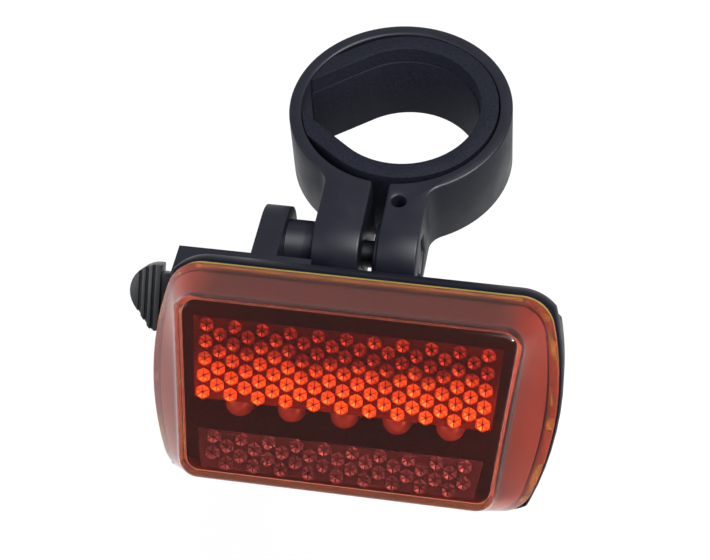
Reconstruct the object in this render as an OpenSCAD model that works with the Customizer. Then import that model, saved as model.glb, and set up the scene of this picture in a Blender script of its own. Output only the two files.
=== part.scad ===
// Bicycle rear light on a tilting bracket, with a split clamp for a seat post.
// The origin is the middle of the clamp's bore, and +Z runs along that bore.
// The light has a frame of its own: X right, Y back and Z up, from the middle of the rim's front face.

/* [Clamp] */
// Radius of the grip band's bore, which holds the post
grip_bore_r = 14.25; // [12:0.05:16]
// Thickness of the grip band
band_t = 3.7; // [2.5:0.1:5]
// Depth of the step under the band's top edge, above which its bore is smooth
band_step = 0.3; // [0.1:0.1:0.8]
// Height of the smooth stretch under the band's top edge
band_smooth_h = 3.5; // [2:0.5:6]
// Angle from the middle of the band to where its straight tails begin
band_arc_half = 127; // [105:1:130]
// How far the band stands out below the ring
band_drop = 3; // [1:0.5:6]
// Space between band and ring while the clamp is open
band_slack = 0.9; // [0.5:0.1:1.5]
// Direction in which the band leans against the ring
lean_angle = 40; // [20:5:60]
// Wall of the clamp ring
ring_wall = 2.4; // [1.8:0.1:4]
// Height of the clamp ring
ring_h = 15.2; // [12:0.2:20]
// Distance from the ring's outer wall to the pivot bolt
pivot_gap = 8.75; // [8:0.25:14]
// Width of the slit between the ears
ear_gap = 3.2; // [2:0.2:5]
// Place of the slit, sideways from the ring's middle
gap_shift = -0.6; // [-2:0.2:2]
// Width of the left ear
left_ear_w = 8.8; // [6:0.2:12]
// Width of the right ear, which holds the nut
right_ear_w = 7.4; // [7:0.2:12]
// Fillet between ear and ring
ear_fillet = 4; // [2:0.5:6]

/* [Pivot bolt] */
// Diameter of the bolt
bolt_d = 5; // [4:0.5:6]
// Diameter of the bolt's head
head_d = 9; // [8:0.5:10]
// Height of the bolt's head
head_h = 3.2; // [2.5:0.1:4]
// Thickness of the washer under the head
washer_t = 0.8; // [0.5:0.1:1.2]
// Width of the nut across its flats
nut_flats = 8; // [7:0.5:10]
// Thickness of the nut
nut_t = 3.6; // [3:0.1:4]

/* [Bracket] */
// Tilt of the light as it is drawn, which lifts its face
rest_tilt = 41.4; // [0:0.1:60]
// Slope of the bracket's arm, and of the shoe's top
arm_slope = 36; // [25:1:45]
// Length of the arm's straight top
arm_l = 9.5; // [8:0.5:14]
// Radius of the arm's round end
arm_r = 7.3; // [6.5:0.1:9]
// Width of the arm
arm_w = 4.7; // [4.5:0.1:8]
// Width of the boss between arm and ear
boss_w = 5.2; // [4:0.1:8]
// Radius of the boss
boss_r = 5; // [4:0.1:6]
// Sideways place of the light's middle, from the ring's middle
light_dx = 2.3; // [-4:0.1:6]
// How far the shoe's left end stands out past the case's left end
shoe_left = 1.5; // [0:0.5:3]
// Length of the shoe
shoe_l = 24.4; // [23:0.2:28]
// Depth of the shoe
shoe_t = 5.5; // [5:0.1:8]
// Height of the shoe's rear top edge over the light's middle
shoe_top = 17.2; // [16:0.2:20]
// Depth of the shoe's lower end below the light's middle
shoe_low = 12; // [11:0.5:14]

/* [Latch] */
// Radius of the thumb tab's round top
tab_r = 4.9; // [4:0.1:6]
// Height of the tab's widest place over the light's middle
tab_z = 9.3; // [8:0.1:10]
// Distance from the shoe's left end to the middle of the tab
tab_reach = 2.5; // [2:0.1:4]
// Thickness of the latch's lever
lever_t = 2.2; // [1.8:0.1:2.6]
// Diameter of the latch's pin
latch_pin_d = 1.4; // [1:0.1:1.6]
// Width and depth of the grooves on the tab
groove = 0.6; // [0.3:0.1:0.8]

/* [Case] */
// Width of the lens at the rim
lens_w = 70; // [66:0.5:80]
// Height of the lens at the rim
lens_h = 37.6; // [36:0.2:44]
// Corner radius of the lens at the rim
lens_corner = 8; // [6:0.5:12]
// Radius of the bulged ends of lens and case
bulge_r = 48; // [40:1:60]
// Height of the ends' widest place over the light's middle
bulge_z = 1.5; // [0:0.5:3]
// How far the rim stands out around the lens
rim_proud = 0.5; // [0.2:0.1:1.5]
// Depth of the rim
rim_t = 4.6; // [4.2:0.1:6]
// Depth of the case behind the rim's front face
case_depth = 12.2; // [12.2:0.1:16]
// Height of the case behind the rim
case_h = 29; // [28:0.5:33]
// Corner radius of the case
case_corner = 5; // [3:0.5:7]
// Wall of the case
case_wall = 1.5; // [1.2:0.1:2]
// Thickness of the seal between rim and lens
seal_t = 2; // [1:0.1:2.5]

/* [Lens] */
// Distance from the rim's front face to the front of the lens
lens_depth = 14.5; // [14.5:0.1:18]
// How far the front face draws in at each side, along its top
front_inset_top = 5.7; // [4:0.1:7]
// How far the front face draws in at each side, along its bottom
front_inset_low = 8; // [7:0.5:9]
// How far the front face draws in above and below
front_inset_z = 3; // [2:0.5:3.5]
// Corner radius of the front face
front_corner = 3.5; // [3.5:0.5:6]
// Rounding of the front face's edge
front_round = 2; // [1:0.5:3]
// Wall of the lens
lens_wall = 2; // [1.5:0.1:2.2]

/* [Reflectors] */
// Height of the upper reflector
upper_h = 13.8; // [11:0.2:14.5]
// Space between the upper reflector's top and the inside of the lens
upper_top_gap = 2; // [1:0.1:4]
// Space between the upper reflector's top corners and the lens's inner sides
upper_side_gap = 2.1; // [1.5:0.1:5]
// Height of the lower reflector
lower_h = 5.6; // [4.5:0.1:6]
// Space between the lower reflector's bottom and the inside of the lens
lower_low_gap = 0.4; // [0.3:0.1:1.5]
// Space between the lower reflector's bottom corners and the lens's inner sides
lower_side_gap = 2.6; // [2:0.1:5]
// Half width lost over the height of a reflector
panel_taper = 1.2; // [0:0.1:2]
// Distance between neighbouring prisms
prism_pitch = 2.9; // [2.4:0.1:4]
// Thickness of a reflector's plate
panel_t = 0.9; // [0.6:0.1:1.2]
// Height of the prisms behind the plate
prism_h = 0.9; // [0.5:0.1:1]

/* [Lamps and board] */
// Distance between LEDs
led_pitch = 9; // [8:0.1:11]
// Height of the LED row, from the light's middle
led_z = -3.2; // [-4:0.1:-2]
// Diameter of an LED
led_d = 5; // [3:0.5:5]
// Height of an LED over the board
led_h = 8.6; // [7:0.1:8.7]
// Thickness of the circuit board
board_t = 1.2; // [0.8:0.1:1.2]
// Thickness of the LED frame's plate
frame_t = 1.2; // [0.8:0.1:1.2]

/* [Power and switch] */
// Diameter of a cell
cell_d = 10.5; // [10.2:0.1:10.5]
// Length of a cell over its positive cap
cell_l = 44.5; // [40:0.5:45]
// Diameter of the spring wire
spring_wire = 0.6; // [0.4:0.1:0.8]
// Diameter of the button
button_d = 7.8; // [6:0.2:8]
// How far the button stands out of the case
button_proud = 1.3; // [0.8:0.1:1.5]
// Travel of the button
button_travel = 0.5; // [0.3:0.1:0.8]

/* [Hidden] */
$fn = 64;

// Clearances: a close fit, a sliding fit, a running pin, a loose bolt, and the case's back to the shoe
seat = 0.1;
slide_gap = 0.2;
pin_play = 0.06;
bolt_play = 0.15;
back_gap = 0.3;

// Overlap of cuts, thickness of the layers that a rounded form is drawn from, and its facets
cut = 1;
layer = 0.1;
hull_fn = 32;
rim_fn = 96;
led_count = 5;

// Clamp, from the middle of the ring
band_outer_r = grip_bore_r + band_t;
ring_inner_r = band_outer_r + band_slack;
ring_outer_r = ring_inner_r + ring_wall;
band_lean = band_slack - seat;
ring_x = -band_lean * cos(lean_angle);
ring_y = -band_lean * sin(lean_angle);
ring_half = ring_h / 2;
knuckle_r = ring_half;
pivot_reach = ring_outer_r + pivot_gap;
gap_left = gap_shift - ear_gap / 2;
gap_right = gap_shift + ear_gap / 2;
ear_left = gap_left - left_ear_w;
ear_right = gap_right + right_ear_w;
band_top = ring_half - seat;
band_low = -ring_half - band_drop;
tail_l = 16;
bolt_r = bolt_d / 2;
ear_bore_r = bolt_r + bolt_play;
bump_h = 0.9;
bump_w = 3.4;
bump_r = bolt_r + bump_w;
nut_sunk = 0.6;
nut_pocket = nut_t + nut_sunk;
bolt_short = 0.4;
socket_flats = 4;
socket_depth = 2;

// Blind hole in the top of the right ear, left by the mould
mark_d = 2.7;
mark_depth = 4;
mark_aside = 2.4;
mark_out = 1.6;
mark_x = gap_right + mark_aside;
mark_y = -ring_outer_r - mark_out;

// Pivot of the bracket, in the light's frame
shoe_front = case_depth + back_gap;
shoe_back = shoe_front + shoe_t;
shoe_start = -lens_w / 2 - shoe_left;
shoe_right = shoe_start + shoe_l;
pivot_y = shoe_back + arm_l * cos(arm_slope) + arm_r * sin(arm_slope);
pivot_z = shoe_top + arm_l * sin(arm_slope) - arm_r * cos(arm_slope);
boss_right = ear_left - light_dx - seat;
arm_right = boss_right - boss_w;
arm_left = arm_right - arm_w;
washer_r = head_d / 2 + slide_gap;
head_recess = head_h + washer_t + back_gap;
recess_r = washer_r + slide_gap;

// T-shaped rail on the case and its channel in the shoe
rail_stem_t = 1.7;
rail_head_t = 1.8;
rail_head_half = 9.3;
rail_stem_half = 6.3;
latch_room = 13.9;
channel_left = shoe_start + latch_room;
rail_left = channel_left + slide_gap;
rail_right = shoe_right - slide_gap;
rail_back = case_depth + rail_stem_t + rail_head_t;

// Latch: its slot in the shoe, its lever, and the catch on the case that its tooth holds
slot_end_wall = 1.2;
slot_floor = 1.5;
slot_right = channel_left - slot_end_wall;
slot_front = shoe_front + slot_floor;
slot_low = 1.8;
slot_top = 12.9;
lever_gap = 0.4;
lever_front = slot_front + lever_gap;
lever_back = lever_front + lever_t;
lever_low = slot_low + back_gap;
lever_top = slot_top - back_gap;
lever_end_r = lever_t / 2 + slide_gap;
latch_x = slot_right - lever_end_r - slide_gap;
latch_y = lever_front + lever_t / 2;
pin_bite = 1.2;
pin_low = slot_low - pin_bite;
pin_l = slot_top - slot_low + 2 * pin_bite;
catch_reach = 7.9;
catch_left = latch_x - catch_reach;
catch_w = 0.9;
catch_h = 0.9;
tooth_low = lever_low + lever_gap;
tooth_top = rail_stem_half - 2 * slide_gap;
tooth_left = catch_left + catch_w + lever_gap;
tooth_front = case_depth + back_gap;
tab_x = shoe_start - tab_reach;
tab_proud = 1.5;
tab_front = lever_front - tab_proud;
tab_foot_r = 1.6;
tab_foot_z = lever_low + tab_foot_r;
tab_root = 2;
groove_count = 3;
groove_pitch = 1.2;
groove_start = 1.6;

// Case and lens, in the light's frame
rim_round = 1.2;
rim_web = 1.2;
mouth_depth = rim_t - rim_web;
tub_back = case_depth - case_wall;
lip_t = 1.2;
lip_in = lens_wall + slide_gap;
lip_root = 1;
lens_inner_front = lens_depth - lens_wall;
inner_round = 0.4;
bend_share = 0.3;

// Middle of the right end's arc, and how far an outline drawn in by d reaches sideways at z below the middle
end_centre = [lens_w / 2 - bulge_r, bulge_z];
function end_reach(d, z) = end_centre[0] + sqrt(pow(bulge_r - d, 2) - pow(z + bulge_z, 2));

// Edges of the reflectors, from the light's middle
front_inner_half_h = lens_h / 2 - front_inset_z - lens_wall;
upper_top = front_inner_half_h - upper_top_gap;
upper_low = upper_top - upper_h;
upper_half = lens_w / 2 - front_inset_top - lens_wall - upper_side_gap;
lower_low = -front_inner_half_h + lower_low_gap;
lower_top = lower_low + lower_h;
lower_half = lens_w / 2 - front_inset_low - lens_wall - lower_side_gap + panel_taper;

// LED frame and board: the frame's skirt stands inside the lip, and the board inside the skirt
skirt_t = 1;
skirt_in = lip_in + lip_t + slide_gap;
board_in = skirt_in + skirt_t + slide_gap;
cell_r = cell_d / 2;
cell_y = tub_back - seat - cell_r;
board_gap = 0.5;
board_back = cell_y - cell_r - board_gap;
board_front = board_back - board_t;
lamp_room = 1.1;
frame_back = board_front - lamp_room;
frame_front = frame_back - frame_t;
led_flange_w = 0.4;
led_flange_r = led_d / 2 + led_flange_w;
led_flange_t = 0.9;
led_lead_r = 0.25;
led_lead_gap = 1.27;
led_lead_end = 0.2;

// Cells, contacts and springs
cell_cap_l = 1;
cell_cap_r = 1.9;
cell_z = cell_r + board_gap / 2;
contact_t = 0.4;
contact_h = 8;
contact_front = mouth_depth + slide_gap;
spring_l = 2.8;
spring_wide_r = 3.4;
spring_narrow_r = 2;
spring_low = cell_z + spring_wide_r + spring_wire / 2;
link_left = seat - end_reach(skirt_in + skirt_t, spring_low);
cells_left = link_left + contact_t;
cells_right = cells_left + spring_l + cell_l;
spring_turns = 3;
spring_rings = 12;
spring_sides = 6;
stop_w = 2;
stop_left = cells_right + contact_t;
ledge_w = 10;
ledge_t = 2;
ledge_x = (cells_left + cells_right) / 2;
ledge_z = cell_z + cell_r + back_gap;

// Board screws, chip, resistors and switch
screw_edge = 4.6;
screw_r = 1;
screw_head_r = 1.9;
screw_head_t = 1;
screw_l = 6;
screw_boss_r = 2;
screw_x = stop_left + slide_gap + screw_boss_r;
screw_z = lens_h / 2 - board_in - screw_edge;
chip_size = [5, 1, 4];
chip_gap = 0.5;
chip_x = screw_x - screw_head_r - chip_gap - chip_size[0];
chip_z = 7;
resistor_size = [2, 0.6, 1.2];
resistor_z = 3;
switch_w = 6;
switch_t = 3.1;
shelf_t = 1.2;
plunger_r = 1.7;
plunger_h = 1;
plunger_depth = 1;
button_r = button_d / 2;
button_flange_w = 0.6;
button_flange_r = button_r + button_flange_w;
button_flange_t = 1.1;
button_stem_r = 1.5;
button_stem_l = 0.3;
button_crown = 0.6;
button_x = stop_left + slide_gap + switch_w / 2;
flange_back = tub_back - seat;
flange_front = flange_back - button_flange_t;
switch_back = flange_front - button_stem_l - pin_play - plunger_h;
switch_front = switch_back - switch_t;
switch_right = button_x + switch_w / 2;
shelf_front = switch_front - shelf_t;
stop_z = button_flange_r + slide_gap + stop_w / 2;
contact_back = flange_front - button_travel - slide_gap;

// Puts a piece drawn in the light's frame in its place on the clamp
module on_light() {
    translate([ring_x + light_dx, ring_y - pivot_reach, 0])
        rotate([-rest_tilt, 0, 0])
            translate([0, -pivot_y, -pivot_z])
                children();
}

module on_ring() {
    translate([ring_x, ring_y, 0]) children();
}

// Extrudes an outline of Y and Z along X, from x0 to x1
module along_x(x0, x1) {
    translate([x0, 0, 0]) rotate([90, 0, 90]) linear_extrude(x1 - x0) children();
}

// Extrudes an outline of X and Z along Y, from y0 to y1
module along_y(y0, y1) {
    translate([0, y1, 0]) rotate([90, 0, 0]) linear_extrude(y1 - y0) children();
}

module rounded(w, h, r) {
    square([w - 2 * r, h], center = true);
    square([w, h - 2 * r], center = true);
    for (sx = [-1, 1], sz = [-1, 1])
        translate([sx * (w / 2 - r), sz * (h / 2 - r)]) circle(r);
}

module box(low, high) {
    translate(low) cube(high - low);
}

// Turns a piece's own axis from Z to X, at the pivot of the ring
module on_pivot(x) {
    on_ring() translate([x, -pivot_reach, 0]) rotate([0, 90, 0]) children();
}

// Fillet in the corner between the ring's outside and the ear's side at x, side 1 or -1
module ear_fillet_outline(x, side) {
    centre_x = x + side * ear_fillet;
    centre_y = -sqrt(pow(ring_outer_r + ear_fillet, 2) - pow(centre_x, 2));
    share = ring_outer_r / (ring_outer_r + ear_fillet);
    difference() {
        polygon([[0, 0], share * [centre_x, centre_y], [centre_x, centre_y], [x, centre_y], [0, centre_y]]);
        translate([centre_x, centre_y]) circle(ear_fillet);
    }
}

module ear_profile() {
    translate([-pivot_reach, 0]) circle(knuckle_r);
    translate([-pivot_reach, -knuckle_r]) square([pivot_gap + ring_wall / 2, ring_h]);
}

module clamp_ring() {
    color("#2b2d30") on_ring() {
        difference() {
            union() {
                translate([0, 0, -ring_half]) linear_extrude(ring_h) {
                    circle(ring_outer_r);
                    ear_fillet_outline(ear_left, -1);
                    ear_fillet_outline(ear_right, 1);
                }
                along_x(ear_left, ear_right) ear_profile();
            }
            translate([0, 0, -ring_h]) cylinder(r = ring_inner_r, h = 2 * ring_h);
            box([gap_left, -pivot_reach - knuckle_r - cut, -ring_h], [gap_right, 0, ring_h]);
            translate([ear_left - cut, -pivot_reach, 0]) rotate([0, 90, 0])
                cylinder(r = ear_bore_r, h = ear_right - ear_left + 2 * cut);
            translate([ear_right - nut_pocket, -pivot_reach, 0]) rotate([0, 90, 0])
                cylinder(d = (nut_flats + 2 * seat) / cos(30), h = nut_pocket + cut, $fn = 6);
            translate([mark_x, mark_y, ring_half - mark_depth]) cylinder(d = mark_d, h = mark_depth + cut);
        }
        translate([gap_right - bump_h, -pivot_reach, 0]) rotate([0, 90, 0]) difference() {
            cylinder(r = bump_r, h = bump_h);
            translate([0, 0, -cut]) cylinder(r = ear_bore_r, h = bump_h + 2 * cut);
        }
    }
}

// A circle with two straight tails, which leave it at the ends of the band's arc
module band_form(r) {
    from = r * [cos(band_arc_half), sin(band_arc_half)];
    to = from + tail_l * [-sin(band_arc_half), cos(band_arc_half)];
    circle(r);
    polygon([from, to, [to[0], -to[1]], [from[0], -from[1]]]);
}

// The band seen from above: its tails end just short of the ring's wall
module band_outline(inner_r) {
    difference() {
        band_form(band_outer_r);
        band_form(inner_r);
        difference() {
            translate([-2 * ring_outer_r, -ring_outer_r])
                square([2 * ring_outer_r - grip_bore_r / 2, 2 * ring_outer_r]);
            translate([ring_x, ring_y]) circle(ring_inner_r - seat);
        }
    }
}

module grip_band() {
    step_z = band_top - band_smooth_h;
    color("#1f2126") {
        translate([0, 0, band_low]) linear_extrude(step_z - band_low) band_outline(grip_bore_r);
        translate([0, 0, step_z]) linear_extrude(band_smooth_h) band_outline(grip_bore_r + band_step);
    }
}

module clamp_bolt() {
    head_x = arm_left + light_dx + head_recess - washer_t - pin_play;
    bolt_l = ear_right - head_x - bolt_short;
    color("#8d9094") on_pivot(head_x) {
        cylinder(r = bolt_r, h = bolt_l);
        difference() {
            translate([0, 0, -head_h]) cylinder(d = head_d, h = head_h);
            translate([0, 0, -head_h - cut])
                cylinder(d = socket_flats / cos(30), h = socket_depth + cut, $fn = 6);
        }
    }
}

module bolt_washer() {
    color("#a0a3a6") on_pivot(arm_left + light_dx + head_recess - washer_t - pin_play) difference() {
        cylinder(r = washer_r, h = washer_t);
        translate([0, 0, -cut]) cylinder(r = bolt_r + pin_play, h = washer_t + 2 * cut);
    }
}

module clamp_nut() {
    color("#8d9094") on_pivot(ear_right - nut_pocket) difference() {
        cylinder(d = nut_flats / cos(30), h = nut_t, $fn = 6);
        translate([0, 0, -cut]) cylinder(r = bolt_r + pin_play, h = nut_t + 2 * cut);
    }
}

// Arm's outline: a bar as wide as its round end, from the shoe's back up to the pivot
module arm_profile() {
    up = [-sin(arm_slope), cos(arm_slope)] * arm_r;
    centre = [pivot_y, pivot_z];
    root_y = shoe_back - shoe_t / 4;
    drop_top = (centre[0] + up[0] - root_y) * tan(arm_slope);
    drop_low = (centre[0] - up[0] - root_y) * tan(arm_slope);
    translate(centre) circle(arm_r);
    polygon([centre + up, [root_y, centre[1] + up[1] - drop_top],
             [root_y, centre[1] - up[1] - drop_low], centre - up]);
}

module shoe_profile() {
    front_top = shoe_top - shoe_t * tan(arm_slope);
    polygon([[shoe_front, -shoe_low], [shoe_back, -shoe_low],
             [shoe_back, shoe_top], [shoe_front, front_top]]);
}

module bracket() {
    wall_back = case_depth + rail_stem_t;
    color("#303236") on_light() difference() {
        union() {
            along_x(shoe_start, shoe_right) shoe_profile();
            along_x(arm_left, arm_right) arm_profile();
            translate([arm_left, pivot_y, pivot_z]) rotate([0, 90, 0])
                cylinder(r = boss_r, h = arm_w + boss_w);
        }
        box([channel_left, wall_back - slide_gap, -rail_head_half - slide_gap],
            [shoe_right + cut, rail_back + slide_gap, rail_head_half + slide_gap]);
        box([channel_left, shoe_front - cut, -rail_stem_half - slide_gap],
            [shoe_right + cut, wall_back, rail_stem_half + slide_gap]);
        box([shoe_start - cut, slot_front, slot_low], [slot_right, shoe_back + cut, slot_top]);
        box([shoe_start - cut, shoe_front - cut, tooth_low - slide_gap],
            [channel_left + cut, slot_front + slide_gap, tooth_top + slide_gap]);
        translate([latch_x, latch_y, pin_low]) cylinder(d = latch_pin_d, h = pin_l);
        translate([arm_left - cut, pivot_y, pivot_z]) rotate([0, 90, 0]) {
            cylinder(r = bolt_r + pin_play, h = arm_w + boss_w + 2 * cut);
            cylinder(r = recess_r, h = head_recess + cut);
        }
    }
}

module latch_pin() {
    color("#a0a3a6") on_light() translate([latch_x, latch_y, pin_low])
        cylinder(d = latch_pin_d, h = pin_l);
}

module tab_outline() {
    hull() {
        translate([tab_x, tab_z]) circle(tab_r, $fn = hull_fn);
        translate([tab_x, tab_foot_z]) circle(tab_foot_r, $fn = hull_fn);
    }
}

module release_latch() {
    color("#34363a") on_light() difference() {
        union() {
            box([shoe_start - tab_root, lever_front, lever_low], [latch_x, lever_back, lever_top]);
            translate([latch_x, latch_y, lever_low]) cylinder(r = lever_end_r, h = lever_top - lever_low);
            box([tooth_left, tooth_front, tooth_low], [tooth_left + catch_w, latch_y, tooth_top]);
            intersection() {
                along_y(tab_front, lever_back) tab_outline();
                box([tab_x - tab_r - cut, tab_front - cut, -shoe_low],
                    [shoe_start - tab_root + layer, shoe_back, shoe_top]);
            }
        }
        for (i = [0 : groove_count - 1])
            translate([tab_x - tab_r + groove_start + i * groove_pitch, tab_front - cut, lever_low - cut])
                cube([groove, cut + groove, 2 * tab_r + tab_z]);
        translate([latch_x, latch_y, lever_low - cut])
            cylinder(r = latch_pin_d / 2 + pin_play, h = lever_top - lever_low + 2 * cut);
    }
}

// Outline of lens and rim, drawn in by d: straight above and below, with bulged ends and round corners
module rim_outline(d) {
    intersection() {
        rounded(lens_w - 2 * d, lens_h - 2 * d, lens_corner - d);
        translate(end_centre) circle(bulge_r - d);
        mirror([1, 0]) translate(end_centre) circle(bulge_r - d);
    }
}

// Outline of the case behind the rim, drawn in by d on all sides
module case_outline(d) {
    intersection() {
        rim_outline(d);
        rounded(lens_w - 2 * d, case_h - 2 * d, case_corner - d);
    }
}

module rim() {
    hull() {
        along_y(0, rim_t - rim_round) rim_outline(-rim_proud / 2, $fn = rim_fn);
        along_y(rim_round, rim_t - rim_round) rim_outline(-rim_proud, $fn = rim_fn);
        along_y(rim_t - layer, rim_t) rim_outline(rim_round - rim_proud, $fn = rim_fn);
    }
}

module rear_case() {
    color("#26282b") on_light() {
        difference() {
            union() {
                rim();
                along_y(rim_t - cut, case_depth) case_outline(0);
                box([rail_left, case_depth - case_wall / 2, -rail_stem_half],
                    [rail_right, rail_back, rail_stem_half]);
                box([rail_left, rail_back - rail_head_t, -rail_head_half],
                    [rail_right, rail_back, rail_head_half]);
                box([catch_left, case_depth - case_wall / 2, tooth_low],
                    [catch_left + catch_w, case_depth + catch_h, tooth_top]);
            }
            along_y(-cut, mouth_depth) rim_outline(lens_wall);
            along_y(mouth_depth - cut, tub_back) case_outline(case_wall);
            translate([button_x, tub_back - cut, 0]) rotate([-90, 0, 0])
                cylinder(r = button_r + slide_gap, h = case_wall + 2 * cut);
        }
        for (s = [-1, 1]) difference() {
            translate([screw_x, board_back, s * screw_z]) rotate([-90, 0, 0])
                cylinder(r = screw_boss_r, h = tub_back - board_back + case_wall / 2);
            translate([screw_x, board_back - cut, s * screw_z]) rotate([-90, 0, 0])
                cylinder(r = screw_r + pin_play, h = screw_l + cut);
        }
        for (s = [0, 1]) mirror([0, 0, s]) {
            box([ledge_x - ledge_w / 2, board_back, ledge_z],
                [ledge_x + ledge_w / 2, tub_back + case_wall / 2, ledge_z + ledge_t]);
            box([ledge_x - ledge_w / 2, mouth_depth + slide_gap, ledge_z],
                [ledge_x + ledge_w / 2, tub_back + case_wall / 2, case_h / 2 - case_wall / 2]);
        }
        for (s = [-1, 1])
            box([stop_left, shelf_front, s * stop_z - stop_w / 2],
                [switch_right, tub_back + case_wall / 2, s * stop_z + stop_w / 2]);
        box([stop_left, shelf_front, -stop_z], [switch_right, switch_front, stop_z]);
        box([-lens_w / 2 + case_wall, contact_front, -cell_z - stop_w / 2],
            [link_left, tub_back + case_wall / 2, -cell_z + stop_w / 2]);
    }
}

module lens_seal() {
    color("#a39440") on_light() along_y(-seal_t, 0) difference() {
        rim_outline(0);
        rim_outline(lens_wall);
    }
}

module led_frame() {
    color("#1a1a1d") on_light() difference() {
        along_y(frame_front, mouth_depth) rim_outline(skirt_in);
        along_y(frame_back, mouth_depth + cut) rim_outline(skirt_in + skirt_t);
        for (i = [0 : led_count - 1]) translate([led_place(i), frame_front - cut, led_z]) rotate([-90, 0, 0])
            cylinder(r = led_d / 2 + slide_gap, h = frame_t + 2 * cut);
    }
}

function led_place(i) = (i - (led_count - 1) / 2) * led_pitch;

module circuit_board() {
    color("#2f6b3c") on_light() difference() {
        along_y(board_front, board_back) rim_outline(board_in);
        for (i = [0 : led_count - 1], s = [-1, 1])
            translate([led_place(i) + s * led_lead_gap, board_front - cut, led_z]) rotate([-90, 0, 0])
                cylinder(r = led_lead_r + pin_play, h = board_t + 2 * cut, $fn = 24);
        for (s = [-1, 1]) translate([screw_x, board_front - cut, s * screw_z]) rotate([-90, 0, 0])
            cylinder(r = screw_r + slide_gap, h = board_t + 2 * cut);
    }
}

// One LED: flange, body with a round dome, and two leads
module led(i) {
    r = led_d / 2;
    color("#b4523c") on_light()
        translate([led_place(i), board_front, led_z]) rotate([90, 0, 0]) {
            cylinder(r = led_flange_r, h = led_flange_t);
            cylinder(r = r, h = led_h - r);
            translate([0, 0, led_h - r]) sphere(r);
            for (s = [-1, 1]) translate([s * led_lead_gap, 0, -board_t - led_lead_end])
                cylinder(r = led_lead_r, h = board_t + 2 * led_lead_end, $fn = 24);
        }
}

module controller_chip() {
    color("#17181a") on_light()
        translate([chip_x, board_front - chip_size[1], chip_z]) cube(chip_size);
}

module resistors() {
    color("#3b3b3f") on_light() for (i = [0 : led_count - 1])
        translate([led_place(i) - resistor_size[0] / 2, board_front - resistor_size[1], resistor_z])
            cube(resistor_size);
}

module mode_switch() {
    color("#505357") on_light() difference() {
        box([button_x - switch_w / 2, switch_front, -switch_w / 2],
            [switch_right, switch_back, switch_w / 2]);
        translate([button_x, switch_back - plunger_depth - button_travel, 0]) rotate([-90, 0, 0])
            cylinder(r = plunger_r + pin_play, h = plunger_depth + button_travel + cut);
    }
}

module switch_plunger() {
    color("#c9b08a") on_light()
        translate([button_x, switch_back - plunger_depth, 0]) rotate([-90, 0, 0])
            cylinder(r = plunger_r, h = plunger_depth + plunger_h);
}

// Rubber button: crowned cap through the back wall, flange behind the wall, stem to the plunger
module push_button() {
    stem_end = switch_back + plunger_h + pin_play;
    cap_end = case_depth + button_proud;
    color("#3a3c40") on_light() translate([button_x, 0, 0]) rotate([-90, 0, 0]) rotate_extrude()
        polygon([[0, stem_end], [button_stem_r, stem_end], [button_stem_r, flange_front],
                 [button_flange_r, flange_front], [button_flange_r, flange_back],
                 [button_r, flange_back], [button_r, cap_end - button_crown],
                 [button_r - button_crown, cap_end], [0, cap_end]]);
}

module board_screws() {
    color("#b8bbbe") on_light() for (s = [-1, 1])
        translate([screw_x, board_front, s * screw_z]) rotate([-90, 0, 0]) {
            cylinder(r = screw_r, h = board_t + screw_l - seat);
            translate([0, 0, -screw_head_t]) cylinder(r = screw_head_r, h = screw_head_t);
        }
}

// One AAA cell along X from its flat end at x: side 1 has its positive cap to the right
module cell(x, z, side) {
    color("#4a5560") on_light() translate([x, cell_y, z]) rotate([0, side * 90, 0]) {
        cylinder(r = cell_r, h = cell_l - cell_cap_l);
        cylinder(r = cell_cap_r, h = cell_l);
    }
}

module cell_upper() { cell(cells_left + cell_l, cell_z, -1); }
module cell_lower() { cell(cells_right - cell_l, -cell_z, 1); }

// Flat contact plate whose left face is at x, from height low to height high
module contact_plate(x, low, high) {
    color("#c4c6c8") on_light()
        box([x, contact_front, low], [x + contact_t, contact_back, high]);
}

// The link joins the upper cell's cap to the lower cell's spring
module link_contact() { contact_plate(link_left, -cell_z - contact_h / 2, cell_z + contact_h / 2); }
module positive_contact() { contact_plate(cells_right, -cell_z - contact_h / 2, -cell_z + contact_h / 2); }
module negative_contact() { contact_plate(cells_right, cell_z - contact_h / 2, cell_z + contact_h / 2); }

// Middle line of a tapered spring: narrow at the cell, wide at the contact
spring_steps = spring_turns * spring_rings;
spring_rise = spring_l - spring_wire;
function spring_point(i) =
    let (t = i / spring_steps, r = spring_narrow_r + (spring_wide_r - spring_narrow_r) * t)
    [r * cos(360 * spring_turns * t), r * sin(360 * spring_turns * t), spring_wire / 2 + spring_rise * t];
function spring_ring(i) = let (a = 360 * i / spring_rings)
    [for (k = [0 : spring_sides - 1]) let (b = 360 * k / spring_sides)
        spring_point(i) + spring_wire / 2 * [cos(b) * cos(a), cos(b) * sin(a), sin(b)]];
spring_gap = min([for (i = [0 : spring_steps - spring_rings])
    norm(spring_point(i + spring_rings) - spring_point(i)) - spring_wire]);
echo("least gap between turns of a spring", spring_gap);

module spring() {
    last = spring_steps * spring_sides;
    polyhedron(
        points = [for (i = [0 : spring_steps]) each spring_ring(i)],
        faces = concat(
            [for (k = [1 : spring_sides - 2]) [0, k + 1, k]],
            [for (k = [1 : spring_sides - 2]) [last, last + k, last + k + 1]],
            [for (i = [0 : spring_steps - 1], k = [0 : spring_sides - 1])
                let (a = i * spring_sides + k, b = i * spring_sides + (k + 1) % spring_sides)
                    [a, b, b + spring_sides]],
            [for (i = [0 : spring_steps - 1], k = [0 : spring_sides - 1])
                let (a = i * spring_sides + k, b = i * spring_sides + (k + 1) % spring_sides)
                    [a, b + spring_sides, a + spring_sides]]));
}

module spring_upper() {
    color("#b8bbbe") on_light() translate([cells_left + cell_l, cell_y, cell_z])
        rotate([0, 90, 0]) spring();
}

module spring_lower() {
    color("#b8bbbe") on_light() translate([cells_right - cell_l, cell_y, -cell_z])
        rotate([0, -90, 0]) spring();
}

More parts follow.
